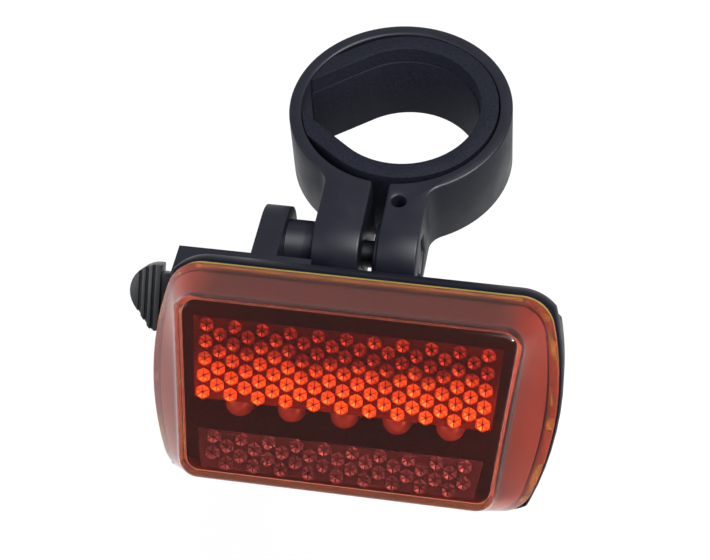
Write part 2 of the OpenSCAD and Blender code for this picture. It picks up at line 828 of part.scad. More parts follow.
// Front face of the lens, drawn in by d: wider at its top than at its bottom
module front_outline(d) {
    r = front_corner - d;
    for (sx = [-1, 1], sz = [-1, 1])
        translate([sx * (lens_w / 2 - (sz > 0 ? front_inset_top : front_inset_low) - front_corner),
                   sz * (lens_h / 2 - front_inset_z - front_corner)])
            circle(r, $fn = hull_fn);
}

// Solid form of the lens, drawn in by d, with its front edge rounded by r
module lens_form(d, r, y_back) {
    front = -lens_depth + d;
    bend = bend_share * r;
    hull() {
        along_y(-seal_t - layer, y_back) rim_outline(d, $fn = rim_fn);
        along_y(front + r, front + r + layer) front_outline(d);
        along_y(front + bend, front + r) front_outline(d + bend);
        along_y(front, front + r) front_outline(d + r);
    }
}

module lens() {
    color("#b3301f", 0.6) on_light() {
        difference() {
            lens_form(0, front_round, -seal_t);
            lens_form(lens_wall, inner_round, -seal_t + cut);
        }
        difference() {
            union() {
                along_y(-seal_t - lip_root, -seal_t) rim_outline(lens_wall / 2);
                along_y(-seal_t - lip_root, mouth_depth - 2 * slide_gap) rim_outline(lip_in);
            }
            along_y(-seal_t - lip_root - cut, mouth_depth + cut) rim_outline(lip_in + lip_t);
        }
    }
}

// Reflector panel: a tapered plate against the lens, with hexagonal prisms behind it
module reflector(top, low, half) {
    front = -lens_inner_front;
    row = prism_pitch;
    column = prism_pitch * cos(30);
    prism_r = prism_pitch / 2 / cos(30) - seat;
    half_low = half - panel_taper;
    columns = floor((half_low - prism_r) / column);
    rows = floor((top - low - row) / row - 0.5);
    start = top - (top - low - rows * row - row / 2) / 2;
    color("#c8321c", 0.8) on_light() {
        along_y(front, front + panel_t)
            polygon([[-half_low, low], [half_low, low], [half, top], [-half, top]]);
        for (c = [-columns : columns], k = [0 : rows])
            translate([c * column, front + panel_t - layer, start - k * row - (abs(c) % 2) * row / 2])
                rotate([-90, 0, 0]) cylinder(r = prism_r, h = prism_h + layer, $fn = 6);
    }
}

module upper_reflector() { reflector(upper_top, upper_low, upper_half); }
module lower_reflector() { reflector(lower_top, lower_low, lower_half); }

clamp_ring();
grip_band();
clamp_bolt();
bolt_washer();
clamp_nut();
bracket();
latch_pin();
release_latch();
rear_case();
lens_seal();
led_frame();
circuit_board();
led(0);  // led_1
led(1);  // led_2
led(2);  // led_3
led(3);  // led_4
led(4);  // led_5
controller_chip();
resistors();
mode_switch();
board_screws();
cell_upper();
cell_lower();
link_contact();
positive_contact();
negative_contact();
spring_upper();
spring_lower();
push_button();
switch_plunger();
lens();
upper_reflector();
lower_reflector();
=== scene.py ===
"""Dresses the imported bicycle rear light: black mouldings, and a red lens over prism reflectors."""

import math

import bmesh
import bpy
from mathutils import Matrix, Vector


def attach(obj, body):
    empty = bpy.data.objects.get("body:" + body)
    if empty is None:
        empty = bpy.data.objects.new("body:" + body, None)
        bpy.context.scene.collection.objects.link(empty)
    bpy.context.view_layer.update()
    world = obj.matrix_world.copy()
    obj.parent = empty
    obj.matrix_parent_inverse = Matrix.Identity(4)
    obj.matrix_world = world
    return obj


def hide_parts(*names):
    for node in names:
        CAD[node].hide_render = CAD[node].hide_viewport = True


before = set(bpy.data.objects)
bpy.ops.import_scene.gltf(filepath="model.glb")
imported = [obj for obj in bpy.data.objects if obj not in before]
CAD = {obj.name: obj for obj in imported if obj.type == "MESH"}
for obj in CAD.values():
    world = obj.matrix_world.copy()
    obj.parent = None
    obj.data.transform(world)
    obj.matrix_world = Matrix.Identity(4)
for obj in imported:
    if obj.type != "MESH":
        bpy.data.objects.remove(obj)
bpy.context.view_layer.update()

bl_info = {
    "name": "Bicycle rear light",
    "version": (1, 0, 0),
    "blender": (4, 5, 0),
    "location": "View3D > Sidebar > Rear light",
    "description": "Dresses a clamp-on bicycle rear light and sets a plain studio round it",
    "category": "Object",
}

MM = 0.001

# The light's own frame in the row frame: X right, Y back and Z up from the middle of the rim's
# front. Its points are in millimetres, and the row frame is in metres.
REST_TILT = math.radians(41.4)
PIVOT_IN_LIGHT = Vector((0.0, 29.97649, 16.87814))
PIVOT_IN_ROW = Vector((1.68716, -30.51423, 0.0))
LIGHT = (
    Matrix.Scale(MM, 4)
    @ Matrix.Translation(PIVOT_IN_ROW)
    @ Matrix.Rotation(-REST_TILT, 4, "X")
    @ Matrix.Translation(-PIVOT_IN_LIGHT)
)

# Roundings of smaller pieces' edges in mm, and that of the rubber band as a share of the ring's
BOLT_ROUND, PIN_ROUND, LATCH_ROUND, CASE_ROUND, BUTTON_ROUND = 0.2, 0.15, 0.22, 0.3, 0.35
BAND_SHARE = 0.8
# Points closer than this are one point, and faces that turn less than this are one face
MERGE = 0.002 * MM
FLAT_TURN = math.radians(0.6)
# Edges that turn more than this are rounded
SHARP_TURN = math.radians(32)

# Points along half an edge, round a corner and along a side of the lens's outlines
EDGE_STEPS, CORNER_STEPS, SIDE_STEPS = 10, 8, 14
# Loops from the lens's rim to its shoulder, and steps round the edge of its front
SIDE_LOOPS, ROUND_STEPS = 7, 6
# Loops in the flat of the front, as shares of its outline
FRONT_SHARES = (0.8, 0.5, 0.2)
# Rounding of the front's edge inside the lens, in mm
INNER_ROUND = 0.3
# The lip's step from the inside of the lens's wall, its own wall, and its reach behind the rim's
# front, in mm
LIP_GAP, LIP_WALL, LIP_DEPTH = 0.2, 1.2, 3.0
# Small bevel at the lip's end, and how far its root reaches in front of the seal, in mm
LIP_BEVEL, LIP_ROOT = 0.2, 0.8
# Loops of the lens's inner skin that lie inside the lip's root
HIDDEN_LOOPS = 1
# Distances from the light's middle between which the frosted walls change to their paler end tone, a
# painted glow, in mm
FROST_GLOW_FROM, FROST_GLOW_TO = 23.0, 32.0

# Seal's rounding along its front and back edges: along the depth and inwards, in mm
SEAL_EASE, SEAL_DRAW = 0.4, 0.2
# Inset of the seal from the rim's outline, and its width, in mm
SEAL_INSET, SEAL_WIDTH = 0.1, 1.6

# Each reflector's top, bottom, half width at the top and how far its ends draw in below, in mm
UPPER_EDGES = (11.8, -2.1, 26.0, 0.9)
LOWER_EDGES = (-7.5, -14.0, 24.2, 1.0)
# From the lens's inside back to a reflector's plate, so that the petals' tips touch the lens, in mm
PRISM_STAND = 0.81
PLATE_DEPTH = 0.5
# Radii of a petal's foot and top, as shares of its distance from the prism's middle
PETAL_FOOT, PETAL_TOP = 0.8, 0.56
# Room from a prism's middle to the plate's lower, side and upper edges, as shares of its radius
LOW_ROOM, SIDE_ROOM, TOP_ROOM = 0.75, 0.7, 0.6
# Depth of the prisms, and heights between which each panel's painted light changes, in the light's
# frame: the upper panel's painted glow fades upwards, and the lower panel's grey painted shade grows
# lighter upwards
PRISM_Y = -12.0
UPPER_GLOW_HEIGHTS = (0.0, 9.0)
LOWER_SHADE_HEIGHTS = (-14.0, -7.0)

# The view, worked out in the light's own frame: turn, height, roll, distance in mm and aim
VIEW_TURN, VIEW_HEIGHT, VIEW_ROLL = (math.radians(angle) for angle in (8.723, 12.0, 4.351))
VIEW_DISTANCE = 350
VIEW_AIM = Vector((-1.22, 0.0, 18.18))
# Focal length and picture's width in pixels, and the sensor's width in mm
FOCAL_PX, PICTURE_PX, SENSOR = 2062.25, 710, 36.0

# Half of the floor's side in metres, and its height: below the lens's lowest place when the light
# is tilted right down and its lens is pulled out
FLOOR_HALF, FLOOR_Z = 4.0, -78 * MM
# Share of white that the floor shows to the camera, and strength of the sky on the object
FLOOR_WHITE, SKY_LIGHT = 0.88, 0.45
LAMP_AIM = Vector((0.0, -0.045, 0.0))


def linear(code):
    """An sRGB hex value as linear RGBA."""
    parts = [int(code[i : i + 2], 16) / 255 for i in (1, 3, 5)]
    rgb = [c / 12.92 if c <= 0.04045 else ((c + 0.055) / 1.055) ** 2.4 for c in parts]
    return (*rgb, 1.0)


def length(name, description, millimetres):
    """A length that a user may change. Blender shows its camera distances in millimetres."""
    return bpy.props.FloatProperty(
        name=name,
        description=description,
        default=millimetres,
        subtype="DISTANCE_CAMERA",
        unit="CAMERA",
    )


def tint(name, description, code):
    """A colour that a user may change, given as an sRGB hex value and held as linear RGBA."""
    return bpy.props.FloatVectorProperty(
        name=name,
        description=description,
        default=linear(code),
        size=4,
        min=0.0,
        max=1.0,
        subtype="COLOR",
    )


class RearLightSizes(bpy.types.PropertyGroup):
    """Sizes of the dressed pieces, in millimetres in the light's own frame"""

    lens_width: length("Lens width", "Width of the lens at the rim", 70.0)
    lens_height: length("Lens height", "Height of the lens at the rim", 37.6)
    lens_depth: length("Lens depth", "From the rim to the lens's front", 14.5)
    lens_wall: length("Lens wall", "Wall of the lens's front", 2.0)
    side_wall: length("Side wall", "Wall of the lens's sides", 1.3)
    lens_corner: length("Lens corner", "Corner radius at the rim", 6.0)
    bulge_radius: length("Bulge", "Radius of the bulged ends", 48.0)
    bulge_height: length("Bulge height", "Widest place over the middle", 1.5)
    inset_top: length("Inset, top", "Side inset of the front's top", 5.7)
    inset_low: length("Inset, bottom", "Side inset of the front's bottom", 8.0)
    inset_rise: length("Inset, height", "Inset of the front above and below", 3.0)
    front_corner: length("Front corner", "Corner radius of the front", 3.5)
    front_round: length("Front edge", "Rounding of the front's edge", 2.0)
    seal_depth: length("Seal", "Thickness of the seal", 2.0)
    prism_row: length("Prism rows", "Height between prisms", 2.9)
    prism_column: length("Prism columns", "Width between columns", 2.36)
    prism_radius: length("Prism radius", "Radius over a prism's corners", 1.46)
    prism_low_radius: length("Lower prisms", "The same in the lower panel", 1.56)
    prism_depth: length("Prism depth", "Thickness of a prism's petals", 0.5)
    prism_tilt: bpy.props.FloatProperty(
        name="Prism tilt",
        description="Slope of a prism's petals",
        default=math.radians(24.0),
        subtype="ANGLE",
        unit="ROTATION",
    )
    edge_round: length("Edge rounding", "Rounding of the ring's and bracket's edges", 0.45)


class RearLightColours(bpy.types.PropertyGroup):
    """Colours of the dressed pieces"""

    # Blue-black: the black is the plastic's own colour, and the blue in it is a painted bluish sheen
    plastic: tint("Plastic", "Satin black mouldings", "#0b0d18")
    latch: tint("Latch", "Release latch", "#17181b")
    grip: tint("Grip", "Rubber of the clamp's band", "#14161f")
    oxide: tint("Bolt", "Blackened steel of the bolt, washer, nut and pin", "#1d1e21")
    button: tint("Button", "Rubber of the push button", "#2c2d30")
    seal: tint("Seal", "Seal between rim and lens", "#8b7a2c")
    lens: tint("Lens", "Tint of one skin of the lens", "#ffa090")
    frost: tint("Frost", "Inside of the lens's side walls", "#582014")
    # The frost's paler tone at the ends is a painted glow of light through the end walls
    frost_lit_end: tint("Frost, ends", "The same at the ends", "#b06048")
    # Upper prisms: the bright tone of the bottom rows is a painted glow of light that the prisms
    # turn back, fading to the dull far tone at the top rows
    prism: tint("Prisms", "Upper facets near the light", "#ffba58")
    prism_far: tint("Prisms, far", "Upper facets far from it", "#6c3428")
    # Lower prisms: grey facets as painted shade, lighter towards the top rows
    shaded: tint("Lower prisms", "Lower facets, bottom rows", "#54586a")
    shaded_far: tint("Lower prisms, top", "Lower facets, top rows", "#626678")
    # Webs: dark painted shade where the inside shows through, a painted glow on the upper web near
    # its bottom rows, and an even painted shade on the lower web
    web: tint("Reflector web", "Plate between the upper facets", "#2c1012")
    web_lit: tint("Web, lit", "The same near the light", "#643020")
    web_dark: tint("Web, dark", "Plate between the lower facets", "#302e3a")
    lamp: tint("LEDs", "Epoxy of the LEDs", "#7c584e")
    led_frame: tint("LED frame", "Plate that the LEDs look through", "#171826")
    board: tint("Board", "Solder mask of the circuit board", "#2a6a3a")
    chip: tint("Chip", "Epoxy of the chip, resistors and switch", "#18191b")
    sleeve: tint("Cells", "Plain sleeve of the cells", "#59626b")
    contact: tint("Contacts", "Nickel of the contacts and springs", "#c9ccce")
    plunger: tint("Plunger", "Plunger of the switch", "#b89a6a")
    screw: tint("Screws", "Zinc of the board's screws", "#aeb2b6")


def add(tree, kind, settings=None, values=None, links=None):
    """Adds a node, with its settings, its sockets' values and the sockets that feed it."""
    made = tree.nodes.new(kind)
    for key, value in (settings or {}).items():
        setattr(made, key, value)
    for key, value in (values or {}).items():
        made.inputs[key].default_value = value
    for key, source in (links or {}).items():
        tree.links.new(source, made.inputs[key])
    return made


def blank(name):
    """A new material with an empty tree, and its Object coordinates."""
    material = bpy.data.materials.new(name)
    material.use_nodes = True
    tree = material.node_tree
    tree.nodes.clear()
    where = add(tree, "ShaderNodeTexCoord").outputs["Object"]
    return material, tree, where


def toned(colour, share):
    """A linear colour times a share, up to white."""
    return tuple(min(1.0, c * share) for c in colour[:3]) + (1.0,)


def moulded(
    name, colour, rough, grain_mm, grain_depth_mm, mottle=0.12, mottle_mm=6.0, gloss=0.25
):
    """Injection-moulded plastic or rubber: an even colour, faint mottle and the mould's grain."""
    material, tree, where = blank(name)
    # A mould's spark grain is about 0.1 mm wide, too fine to show, so it is drawn coarser
    grain = add(
        tree,
        "ShaderNodeTexNoise",
        values={"Scale": 1 / (grain_mm * MM), "Detail": 3.0},
        links={"Vector": where},
    )
    cloud = add(
        tree,
        "ShaderNodeTexNoise",
        values={"Scale": 1 / (mottle_mm * MM), "Detail": 4.0},
        links={"Vector": where},
    )
    tone = add(
        tree,
        "ShaderNodeMix",
        {"data_type": "RGBA"},
        values={6: toned(colour, 1 - mottle), 7: toned(colour, 1 + mottle)},
        links={0: cloud.outputs["Fac"]},
    )
    shine = add(
        tree,
        "ShaderNodeMapRange",
        values={
            "From Min": 0.3,
            "From Max": 0.7,
            "To Min": rough - 0.06,
            "To Max": rough + 0.08,
        },
        links={"Value": cloud.outputs["Fac"]},
    )
    bump = add(
        tree,
        "ShaderNodeBump",
        values={"Strength": 0.5, "Distance": grain_depth_mm * MM},
        links={"Height": grain.outputs["Fac"]},
    )
    shader = add(
        tree,
        "ShaderNodeBsdfPrincipled",
        values={"IOR": 1.5, "Specular IOR Level": gloss},
        links={
            "Base Color": tone.outputs[2],
            "Roughness": shine.outputs["Result"],
            "Normal": bump.outputs["Normal"],
        },
    )
    add(tree, "ShaderNodeOutputMaterial", links={"Surface": shader.outputs["BSDF"]})
    return material


def plated(name, colour, rough, streak_mm):
    """Plated or blackened steel: a metal with short drawn streaks in its roughness."""
    material, tree, where = blank(name)
    # Streaks six times as long as they are wide
    stretch = add(
        tree,
        "ShaderNodeMapping",
        values={"Scale": (1.0, 6.0, 6.0)},
        links={"Vector": where},
    )
    streak = add(
        tree,
        "ShaderNodeTexNoise",
        values={"Scale": 1 / (streak_mm * MM), "Detail": 4.0},
        links={"Vector": stretch.outputs["Vector"]},
    )
    shine = add(
        tree,
        "ShaderNodeMapRange",
        values={"To Min": rough - 0.1, "To Max": rough + 0.12},
        links={"Value": streak.outputs["Fac"]},
    )
    shader = add(
        tree,
        "ShaderNodeBsdfPrincipled",
        values={"Base Color": colour, "Metallic": 1.0},
        links={"Roughness": shine.outputs["Result"]},
    )
    add(tree, "ShaderNodeOutputMaterial", links={"Surface": shader.outputs["BSDF"]})
    return material


def red_acrylic(name, colour, rough, clear, ripple_mm, ends=None):
    """Moulded red acrylic with faint flow ripple, and a paler painted glow at both ends if an end
    tone is given.
    """
    material, tree, where = blank(name)
    ripple = add(
        tree,
        "ShaderNodeTexNoise",
        values={"Scale": 1 / (ripple_mm * MM)},
        links={"Vector": where},
    )
    bump = add(
        tree,
        "ShaderNodeBump",
        values={"Strength": 0.15, "Distance": 0.02 * MM},
        links={"Height": ripple.outputs["Fac"]},
    )
    links = {"Normal": bump.outputs["Normal"]}
    # Painted glow: the walls turn to the paler end tone towards both ends
    if ends is not None:
        spread = add(tree, "ShaderNodeSeparateXYZ", links={"Vector": where})
        aside = add(
            tree,
            "ShaderNodeMath",
            {"operation": "SUBTRACT"},
            values={1: PIVOT_IN_ROW.x * MM},
            links={0: spread.outputs["X"]},
        )
        reach = add(
            tree,
            "ShaderNodeMath",
            {"operation": "ABSOLUTE"},
            links={0: aside.outputs["Value"]},
        )
        share = add(
            tree,
            "ShaderNodeMapRange",
            {"interpolation_type": "SMOOTHSTEP"},
            values={"From Min": FROST_GLOW_FROM * MM, "From Max": FROST_GLOW_TO * MM},
            links={"Value": reach.outputs["Value"]},
        )
        tone = add(
            tree,
            "ShaderNodeMix",
            {"data_type": "RGBA"},
            values={6: colour, 7: ends},
            links={0: share.outputs["Result"]},
        )
        links["Base Color"] = tone.outputs[2]
    # Acrylic's index is 1.49. In this white studio that lays a haze over the lens, which the object
    # doesn't show, so the index is matched down to 1.2.
    shader = add(
        tree,
        "ShaderNodeBsdfPrincipled",
        values={
            "Base Color": colour,
            "Roughness": rough,
            "IOR": 1.2,
            "Specular IOR Level": 0.1,
            "Transmission Weight": clear,
        },
        links=links,
    )
    add(tree, "ShaderNodeOutputMaterial", links={"Surface": shader.outputs["BSDF"]})
    return material


def prism_plastic_painted_light(name, near, far, near_z, far_z):
    """Red prism plastic: one tone near the light's entry and another far from it, in patches; the
    tones are painted light, a glow on the upper panel's bottom rows and grey shade on the lower
    panel.
    """
    material, tree, where = blank(name)
    spread = add(tree, "ShaderNodeSeparateXYZ", links={"Vector": where})
    rise = add(
        tree,
        "ShaderNodeMapRange",
        {"interpolation_type": "SMOOTHSTEP"},
        values={"From Min": near_z, "From Max": far_z},
        links={"Value": spread.outputs["Z"]},
    )
    # Patches a little wider than a prism, so that neighbours differ
    patch = add(
        tree,
        "ShaderNodeTexNoise",
        values={"Scale": 1 / (3.5 * MM), "Detail": 2.0},
        links={"Vector": where},
    )
    shift = add(
        tree,
        "ShaderNodeMapRange",
        values={"From Min": 0.35, "From Max": 0.65, "To Min": -0.18, "To Max": 0.18},
        links={"Value": patch.outputs["Fac"]},
    )
    share = add(
        tree,
        "ShaderNodeMath",
        {"use_clamp": True},
        links={0: rise.outputs["Result"], 1: shift.outputs["Result"]},
    )
    tone = add(
        tree,
        "ShaderNodeMix",
        {"data_type": "RGBA"},
        values={6: near, 7: far},
        links={0: share.outputs["Value"]},
    )
    # Half metallic, because a prism turns light back at its rear faces much as a mirror does
    shader = add(
        tree,
        "ShaderNodeBsdfPrincipled",
        values={"Roughness": 0.22, "IOR": 1.5, "Metallic": 0.5},
        links={"Base Color": tone.outputs[2]},
    )
    add(tree, "ShaderNodeOutputMaterial", links={"Surface": shader.outputs["BSDF"]})
    return material


def lamp_epoxy(name, colour):
    """Cast epoxy of an LED: glossy, and slightly cloudy inside."""
    material, tree, where = blank(name)
    haze = add(
        tree,
        "ShaderNodeTexNoise",
        values={"Scale": 1 / (1.5 * MM), "Detail": 2.0},
        links={"Vector": where},
    )
    tone = add(
        tree,
        "ShaderNodeMix",
        {"data_type": "RGBA"},
        values={6: toned(colour, 0.8), 7: colour},
        links={0: haze.outputs["Fac"]},
    )
    shader = add(
        tree,
        "ShaderNodeBsdfPrincipled",
        values={"Roughness": 0.2, "IOR": 1.54},
        links={"Base Color": tone.outputs[2]},
    )
    add(tree, "ShaderNodeOutputMaterial", links={"Surface": shader.outputs["BSDF"]})
    return material


def fit_piece(mesh, name, body, materials, nodes, share=None, crease=35):
    """Makes a mesh in the row frame a piece: each face's finish, smooth shading and its ride."""
    mesh.name = name
    mesh.polygons.foreach_set("use_smooth", [True] * len(mesh.polygons))
    mesh.set_sharp_from_angle(angle=math.radians(crease))
    mesh.materials.clear()
    for material in materials:
        mesh.materials.append(material)
    mesh.polygons.foreach_set("material_index", share or [0] * len(mesh.polygons))
    piece = bpy.data.objects.new(name, mesh)
    bpy.context.scene.collection.objects.link(piece)
    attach(piece, body)
    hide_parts(*nodes)


def evaluated(carrier):
    """The plain mesh that a draft object's modifier gives. The draft is removed."""
    bpy.context.view_layer.update()
    ready = carrier.evaluated_get(bpy.context.evaluated_depsgraph_get())
    mesh = bpy.data.meshes.new_from_object(ready)
    bpy.data.objects.remove(carrier)
    return mesh


def softened(node, name, body, material, round_mm, segments=2, crease=35):
    """Makes a piece of a CAD node's copy, with its sharp edges rounded as a mould leaves them."""
    mesh = CAD[node].data.copy()
    work = bmesh.new()
    work.from_mesh(mesh)
    bmesh.ops.remove_doubles(work, verts=work.verts, dist=MERGE)
    bmesh.ops.dissolve_limit(work, angle_limit=FLAT_TURN, verts=work.verts, edges=work.edges)
    work.to_mesh(mesh)
    work.free()
    carrier = bpy.data.objects.new(name + "_draft", mesh)
    bpy.context.scene.collection.objects.link(carrier)
    round_edges = carrier.modifiers.new("Rounded edges", "BEVEL")
    round_edges.width = round_mm * MM
    round_edges.segments = segments
    round_edges.limit_method = "ANGLE"
    round_edges.angle_limit = SHARP_TURN
    round_edges.use_clamp_overlap = True
    fit_piece(evaluated(carrier), name, body, (material,), (node,), crease=crease)


def arc(x, z, r, first, last, steps):
    """Points of an arc in X and Z from one angle to another, in radians, without its last point."""
    turns = [first + (last - first) * k / steps for k in range(steps)]
    return [(x + r * math.cos(a), z + r * math.sin(a)) for a in turns]


def straight(start, end, steps):
    """Points of a line in X and Z, without its last point."""
    (x, z), (end_x, end_z) = start, end
    shares = [k / steps for k in range(steps)]
    return [(x + (end_x - x) * share, z + (end_z - z) * share) for share in shares]


def mirrored(right):
    """A closed loop from its right half, which runs from the middle above to the middle below."""
    return right + [(-x, z) for x, z in reversed(right[1:-1])]


def rim_loop(sizes, drawn_in):
    """The outline at the rim: straight above and below, with bulged ends and round corners."""
    radius, middle = sizes.bulge_radius, sizes.bulge_height
    end_x = sizes.lens_width / 2 - radius
    corner_z = sizes.lens_height / 2 - sizes.lens_corner
    half = sizes.lens_height / 2 - drawn_in
    reach = radius - sizes.lens_corner
    top_x = end_x + math.sqrt(reach**2 - (corner_z - middle) ** 2)
    low_x = end_x + math.sqrt(reach**2 - (corner_z + middle) ** 2)
    top_turn = math.atan2(corner_z - middle, top_x - end_x)
    low_turn = math.atan2(-corner_z - middle, low_x - end_x)
    small, large = sizes.lens_corner - drawn_in, radius - drawn_in
    right = straight((0.0, half), (top_x, half), EDGE_STEPS)
    right += arc(top_x, corner_z, small, math.pi / 2, top_turn, CORNER_STEPS)
    right += arc(end_x, middle, large, top_turn, low_turn, SIDE_STEPS)
    right += arc(low_x, -corner_z, small, low_turn, -math.pi / 2, CORNER_STEPS)
    right += straight((low_x, -half), (0.0, -half), EDGE_STEPS) + [(0.0, -half)]
    return mirrored(right)


def front_loop(sizes, drawn_in):
    """The outline of the lens's front: a rounded trapezoid, wider at its top."""
    corner = sizes.front_corner - drawn_in
    top_x = sizes.lens_width / 2 - sizes.inset_top - sizes.front_corner
    low_x = sizes.lens_width / 2 - sizes.inset_low - sizes.front_corner
    corner_z = sizes.lens_height / 2 - sizes.inset_rise - sizes.front_corner
    half = corner_z + corner
    lean = -math.atan2(top_x - low_x, 2 * corner_z)
    right = straight((0.0, half), (top_x, half), EDGE_STEPS)
    right += arc(top_x, corner_z, corner, math.pi / 2, lean, CORNER_STEPS)
    upper = (top_x + corner * math.cos(lean), corner_z + corner * math.sin(lean))
    lower = (low_x + corner * math.cos(lean), -corner_z + corner * math.sin(lean))
    right += straight(upper, lower, SIDE_STEPS)
    right += arc(low_x, -corner_z, corner, lean, -math.pi / 2, CORNER_STEPS)
    right += straight((low_x, -half), (0.0, -half), EDGE_STEPS) + [(0.0, -half)]
    return mirrored(right)


def at_depth(points, y):
    """Points in X and Z as points of the light's frame at one depth."""
    return [(x, y, z) for x, z in points]


def lofted(loops, capped=True):
    """A mesh in the row frame through closed loops of light-frame points, all of one count."""
    work = bmesh.new()
    rows = [[work.verts.new(LIGHT @ Vector(p)) for p in loop] for loop in loops]
    count = len(rows[0])
    for low, high in zip(rows, rows[1:]):
        for k in range(count):
            after = (k + 1) % count
            work.faces.new((low[k], low[after], high[after], high[k]))
    if capped:
        work.faces.new(list(reversed(rows[0])))
        work.faces.new(rows[-1])
    bmesh.ops.recalc_face_normals(work, faces=work.faces)
    mesh = bpy.data.meshes.new("loft")
    work.to_mesh(mesh)
    work.free()
    return mesh


class RearLightClamp(bpy.types.Operator):
    """Dresses the clamp's ring, its rubber band, and the bolt with its washer and nut"""

    bl_idname = "rear_light.clamp"
    bl_label = "Clamp"

    def execute(self, context):
        sizes = context.scene.rear_light_sizes
        colours = context.scene.rear_light_colours
        # Filled nylon, moulded: satin black, with a dull sheen along rounded edges
        nylon = moulded(
            "Moulded black nylon",
            colours.plastic,
            rough=0.45,
            grain_mm=0.35,
            grain_depth_mm=0.02,
            gloss=0.16,
        )
        # PVC rubber, moulded: matt blue-black with a coarse pimpled skin that grips the post
        rubber = moulded(
            "Moulded grip rubber",
            colours.grip,
            rough=0.6,
            grain_mm=0.5,
            grain_depth_mm=0.12,
            mottle=0.9,
            mottle_mm=0.5,
            gloss=0.05,
        )
        # Steel with a black oxide: dull and dark, with a faint drawn streak
        steel = plated("Black-oxide steel", colours.oxide, rough=0.5, streak_mm=0.5)
        softened("clamp_ring", "ring_shell", "clamp", nylon, sizes.edge_round)
        band_round = sizes.edge_round * BAND_SHARE
        softened("grip_band", "band_liner", "clamp", rubber, band_round)
        for node in ("clamp_bolt", "bolt_washer", "clamp_nut"):
            softened(node, node + "_turned", "clamp", steel, BOLT_ROUND)
        return {"FINISHED"}


class RearLightBracket(bpy.types.Operator):
    """Dresses the tilting bracket, its release latch and the latch's pin"""

    bl_idname = "rear_light.bracket"
    bl_label = "Bracket and latch"

    def execute(self, context):
        sizes = context.scene.rear_light_sizes
        colours = context.scene.rear_light_colours
        nylon = bpy.data.materials["Moulded black nylon"]
        steel = bpy.data.materials["Black-oxide steel"]
        # Acetal, moulded: a little glossier and greyer than the bracket, smooth under the thumb
        acetal = moulded(
            "Moulded black acetal", colours.latch, rough=0.36, grain_mm=0.3, grain_depth_mm=0.012
        )
        softened("bracket", "bracket_shell", "bracket", nylon, sizes.edge_round)
        softened("latch_pin", "latch_axle", "bracket", steel, PIN_ROUND)
        softened("release_latch", "latch_lever", "latch", acetal, LATCH_ROUND)
        return {"FINISHED"}


class RearLightCase(bpy.types.Operator):
    """Dresses the rear case with its rubber button, and the seal in front of its rim"""

    bl_idname = "rear_light.case"
    bl_label = "Case and seal"

    def seal(self, sizes):
        """A closed ring along the rim, with its outer edges eased."""
        depth, inset = sizes.seal_depth, SEAL_INSET
        outer, inner = inset + SEAL_DRAW, inset + SEAL_WIDTH
        section = (
            (-depth, outer),
            (-depth + SEAL_EASE, inset),
            (-SEAL_EASE, inset),
            (0.0, outer),
            (0.0, inner),
            (-depth, inner),
        )
        loops = [at_depth(rim_loop(sizes, drawn_in), y) for y, drawn_in in section]
        mesh = lofted(loops + loops[:1], capped=False)
        work = bmesh.new()
        work.from_mesh(mesh)
        bmesh.ops.remove_doubles(work, verts=work.verts, dist=MERGE)
        bmesh.ops.recalc_face_normals(work, faces=work.faces)
        work.to_mesh(mesh)
        work.free()
        return mesh

    def execute(self, context):
        sizes = context.scene.rear_light_sizes
        colours = context.scene.rear_light_colours
        # ABS, moulded: satin black rim and back
        plastic = moulded(
            "Moulded black ABS",
            colours.plastic,
            rough=0.4,
            grain_mm=0.4,
            grain_depth_mm=0.015,
            gloss=0.04,
        )
        # Silicone, moulded: matt and dark, with a soft sheen
        silicone = moulded(
            "Moulded silicone", colours.button, rough=0.6, grain_mm=0.5, grain_depth_mm=0.02
        )
        # Foam rubber, cut as a strip: dull olive yellow with an open, blotchy skin
        foam = moulded(
            "Olive foam rubber",
            colours.seal,
            rough=0.75,
            grain_mm=0.4,
            grain_depth_mm=0.05,
            mottle=0.25,
        )
        softened(
            "rear_case", "case_shell", "light", plastic, CASE_ROUND, crease=40
        )
        softened(
            "push_button",
            "button_cap",
            "button",
            silicone,
            BUTTON_ROUND,
            segments=3,
        )
        seal = self.seal(sizes)
        fit_piece(seal, "seal_strip", "light", (foam,), ("lens_seal",))
        return {"FINISHED"}


